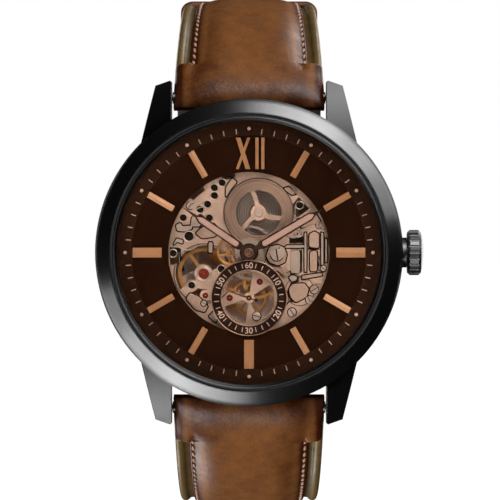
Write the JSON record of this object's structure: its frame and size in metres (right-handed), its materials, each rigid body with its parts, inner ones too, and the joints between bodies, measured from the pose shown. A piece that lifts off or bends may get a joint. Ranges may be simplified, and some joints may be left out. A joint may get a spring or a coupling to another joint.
{
  "type": "skeleton wristwatch",
  "caption": "Wristwatch with an open dial over a running gear train, small seconds, fluted crown, winding rotor behind a rear window, and a padded leather strap with pin buckle and keepers.",
  "frame": {"origin": "centre of the case back's outer face", "axes": "-Y out of the dial toward the viewer, +Y out of the case back toward the wrist, +Z to 12 o'clock, +X to 3 o'clock and the crown"},
  "size_m": [0.0513, 0.0815, 0.0843],
  "materials": {
    "case_black": "satin black plating",
    "glass_clear": "polished",
    "seal_rubber": "matte",
    "holder_plastic": "matte",
    "dial_smoke": "gloss smoked brown",
    "marker_bronze": "polished bronze tone",
    "hand_brown": "gloss dark brown",
    "plate_champagne": "satin champagne plating",
    "wheel_gilt": "gilt",
    "steel_bright": "bright",
    "jewel_ruby": "polished",
    "leather_brown": "waxed brown",
    "leather_tan": "natural tan"
  },
  "bodies": {
    "case": {"case_middle": "case_black", "bezel": "case_black", "crystal": "glass_clear", "crystal_gasket": "seal_rubber", "case_back": "case_black", "case_back_window": "glass_clear", "movement_holder": "holder_plastic", "crown_tube": "case_black", "main_plate": "plate_champagne", "barrel_spider": "plate_champagne", "keyless_cover": "plate_champagne", "barrel_bridge": "plate_champagne", "train_bridge": "plate_champagne", "balance_cock": "plate_champagne", "pallet_bridge": "plate_champagne", "automatic_bridge": "plate_champagne", "jewels": "jewel_ruby", "movement_screws": "steel_bright", "dial_plate": "dial_smoke", "hour_markers": "marker_bronze", "seconds_chapter_ring": "dial_smoke", "spring_bars": "steel_bright"},
    "minute_group": {"center_wheel": "wheel_gilt", "cannon_pinion": "steel_bright", "minute_hand": "hand_brown"},
    "hour_group": {"hour_wheel": "wheel_gilt", "hour_hand": "hand_brown"},
    "minute_wheel_body": {"minute_wheel": "wheel_gilt"},
    "barrel": {"barrel_drum": "wheel_gilt", "mainspring": "steel_bright"},
    "third": {"third_wheel": "wheel_gilt"},
    "seconds_group": {"fourth_wheel": "wheel_gilt", "seconds_hand": "hand_brown"},
    "escape": {"escape_wheel": "wheel_gilt"},
    "fork": {"pallet_fork": "steel_bright"},
    "balance": {"balance_wheel": "wheel_gilt", "hairspring": "steel_bright"},
    "crown_seal": {"crown_gasket": "seal_rubber"},
    "crown_group": {"crown": "case_black", "winding_stem": "steel_bright"},
    "winding_group": {"winding_pinion": "steel_bright", "sliding_clutch": "steel_bright"},
    "crown_wheel_body": {"crown_wheel": "steel_bright"},
    "ratchet": {"ratchet_wheel": "steel_bright", "barrel_arbor": "steel_bright"},
    "reduction": {"reduction_wheel": "wheel_gilt"},
    "reverser_output": {"reverser_pinion": "wheel_gilt"},
    "reverser_input": {"reverser_wheel": "wheel_gilt"},
    "winding_rotor": {"rotor": "steel_bright"},
    "click_body": {"click": "steel_bright"},
    "setting": {"setting_lever": "steel_bright"},
    "strap_12": {"strap_12_leather": "leather_brown", "strap_12_lining": "leather_tan", "keeper_fixed": "leather_brown", "buckle_bar": "steel_bright"},
    "strap_6": {"strap_6_leather": "leather_brown", "strap_6_lining": "leather_tan"},
    "sliding_keeper": {"keeper_sliding": "leather_brown"},
    "buckle": {"buckle_frame": "case_black"},
    "tongue": {"buckle_tongue": "case_black"}
  },
  "joints": [
    {"name": "minute_turn", "type": "hinge", "parent": "case", "child": "minute_group", "pos_m": [0, -0.006, 0], "axis": [0, 1, 0], "continuous": true},
    {"name": "hour_turn", "type": "hinge", "parent": "case", "child": "hour_group", "pos_m": [0, -0.006, 0], "axis": [0, 1, 0], "continuous": true},
    {"name": "minute_wheel_turn", "type": "hinge", "parent": "case", "child": "minute_wheel_body", "pos_m": [-0.00288, -0.006, 0.0001], "axis": [0, 1, 0], "continuous": true},
    {"name": "barrel_turn", "type": "hinge", "parent": "case", "child": "barrel", "pos_m": [0.00148, -0.006, 0.0062], "axis": [0, 1, 0], "continuous": true},
    {"name": "third_turn", "type": "hinge", "parent": "case", "child": "third", "pos_m": [0.00168, -0.006, -0.00454], "axis": [0, 1, 0], "continuous": true},
    {"name": "seconds_turn", "type": "hinge", "parent": "case", "child": "seconds_group", "pos_m": [0, -0.006, -0.00706], "axis": [0, 1, 0], "continuous": true},
    {"name": "escape_turn", "type": "hinge", "parent": "case", "child": "escape", "pos_m": [-0.00302, -0.006, -0.00706], "axis": [0, 1, 0], "continuous": true},
    {"name": "fork_rock", "type": "hinge", "parent": "case", "child": "fork", "pos_m": [-0.00467, -0.006, -0.00553], "axis": [0, 1, 0], "range_deg": [-5, 5]},
    {"name": "balance_swing", "type": "hinge", "parent": "case", "child": "balance", "pos_m": [-0.00706, -0.006, -0.0033], "axis": [0, 1, 0], "range_deg": [-270, 270], "stiffness_Nm_per_rad": 0.0000004},
    {"name": "crown_pull", "type": "slide", "parent": "case", "child": "crown_seal", "axis": [1, 0, 0], "range_m": [0, 0.0012]},
    {"name": "crown_turn", "type": "hinge", "parent": "crown_seal", "child": "crown_group", "pos_m": [0.02, -0.0054, 0], "axis": [1, 0, 0], "continuous": true},
    {"name": "winding_turn", "type": "hinge", "parent": "case", "child": "winding_group", "pos_m": [0.009, -0.0054, 0], "axis": [1, 0, 0], "continuous": true},
    {"name": "crown_wheel_turn", "type": "hinge", "parent": "case", "child": "crown_wheel_body", "pos_m": [0.0063, -0.0041, 0], "axis": [0, 1, 0], "continuous": true},
    {"name": "ratchet_turn", "type": "hinge", "parent": "case", "child": "ratchet", "pos_m": [0.00148, -0.0041, 0.0062], "axis": [0, 1, 0], "continuous": true},
    {"name": "reduction_turn", "type": "hinge", "parent": "case", "child": "reduction", "pos_m": [-0.00433, -0.0041, 0.00327], "axis": [0, 1, 0], "continuous": true},
    {"name": "reverser_output_turn", "type": "hinge", "parent": "case", "child": "reverser_output", "pos_m": [-0.00438, -0.0041, 0.00038], "axis": [0, 1, 0], "continuous": true},
    {"name": "rotor_turn", "type": "hinge", "parent": "case", "child": "winding_rotor", "pos_m": [0, -0.0025, 0], "axis": [0, 1, 0], "continuous": true},
    {"name": "reverser_input_turn", "type": "hinge", "parent": "case", "child": "reverser_input", "pos_m": [-0.00438, -0.0037, 0.00038], "axis": [0, 1, 0], "continuous": true},
    {"name": "click_lift", "type": "hinge", "parent": "case", "child": "click_body", "pos_m": [0.00427, -0.0041, 0.01145], "axis": [0, 1, 0], "range_deg": [0, 10], "stiffness_Nm_per_rad": 0.00001, "springref_deg": -11.46},
    {"name": "keeper_slide", "type": "slide", "parent": "strap_12", "child": "sliding_keeper", "axis": [0, 0.9066, -0.4221], "range_m": [-0.0042, 0.0005]},
    {"name": "setting_swing", "type": "hinge", "parent": "case", "child": "setting", "pos_m": [0.0125, -0.0063, 0.0028], "axis": [0, -1, 0], "range_deg": [0, 24.19]},
    {"name": "strap_12_swing", "type": "hinge", "parent": "case", "child": "strap_12", "pos_m": [0, -0.0034, 0.0243], "axis": [1, 0, 0], "range_deg": [0, 50]},
    {"name": "strap_6_swing", "type": "hinge", "parent": "case", "child": "strap_6", "pos_m": [0, -0.0034, -0.0243], "axis": [-1, 0, 0], "range_deg": [0, 50]},
    {"name": "buckle_swing", "type": "hinge", "parent": "strap_12", "child": "buckle", "pos_m": [0, 0.05516, 0.02843], "axis": [1, 0, 0], "range_deg": [0, 35]},
    {"name": "tongue_lift", "type": "hinge", "parent": "buckle", "child": "tongue", "pos_m": [0, 0.05516, 0.02843], "axis": [1, 0, 0], "range_deg": [0, 60]}
  ],
  "couplings": [
    {"joint": "hour_turn", "follows": "minute_turn", "ratio": 0.083333},
    {"joint": "minute_wheel_turn", "follows": "minute_turn", "ratio": -0.33333},
    {"joint": "barrel_turn", "follows": "minute_turn", "ratio": -0.16667},
    {"joint": "third_turn", "follows": "minute_turn", "ratio": -8},
    {"joint": "seconds_turn", "follows": "minute_turn", "ratio": 60},
    {"joint": "escape_turn", "follows": "minute_turn", "ratio": -720},
    {"joint": "winding_turn", "follows": "crown_turn", "ratio": 1},
    {"joint": "crown_wheel_turn", "follows": "crown_turn", "ratio": -0.30303},
    {"joint": "ratchet_turn", "follows": "crown_turn", "ratio": 0.23256},
    {"joint": "reduction_turn", "follows": "crown_turn", "ratio": -0.5},
    {"joint": "reverser_output_turn", "follows": "crown_turn", "ratio": 1.25},
    {"joint": "reverser_input_turn", "follows": "rotor_turn", "ratio": -1},
    {"joint": "setting_swing", "follows": "crown_pull", "rad_per_m": 351.78}
  ]
}
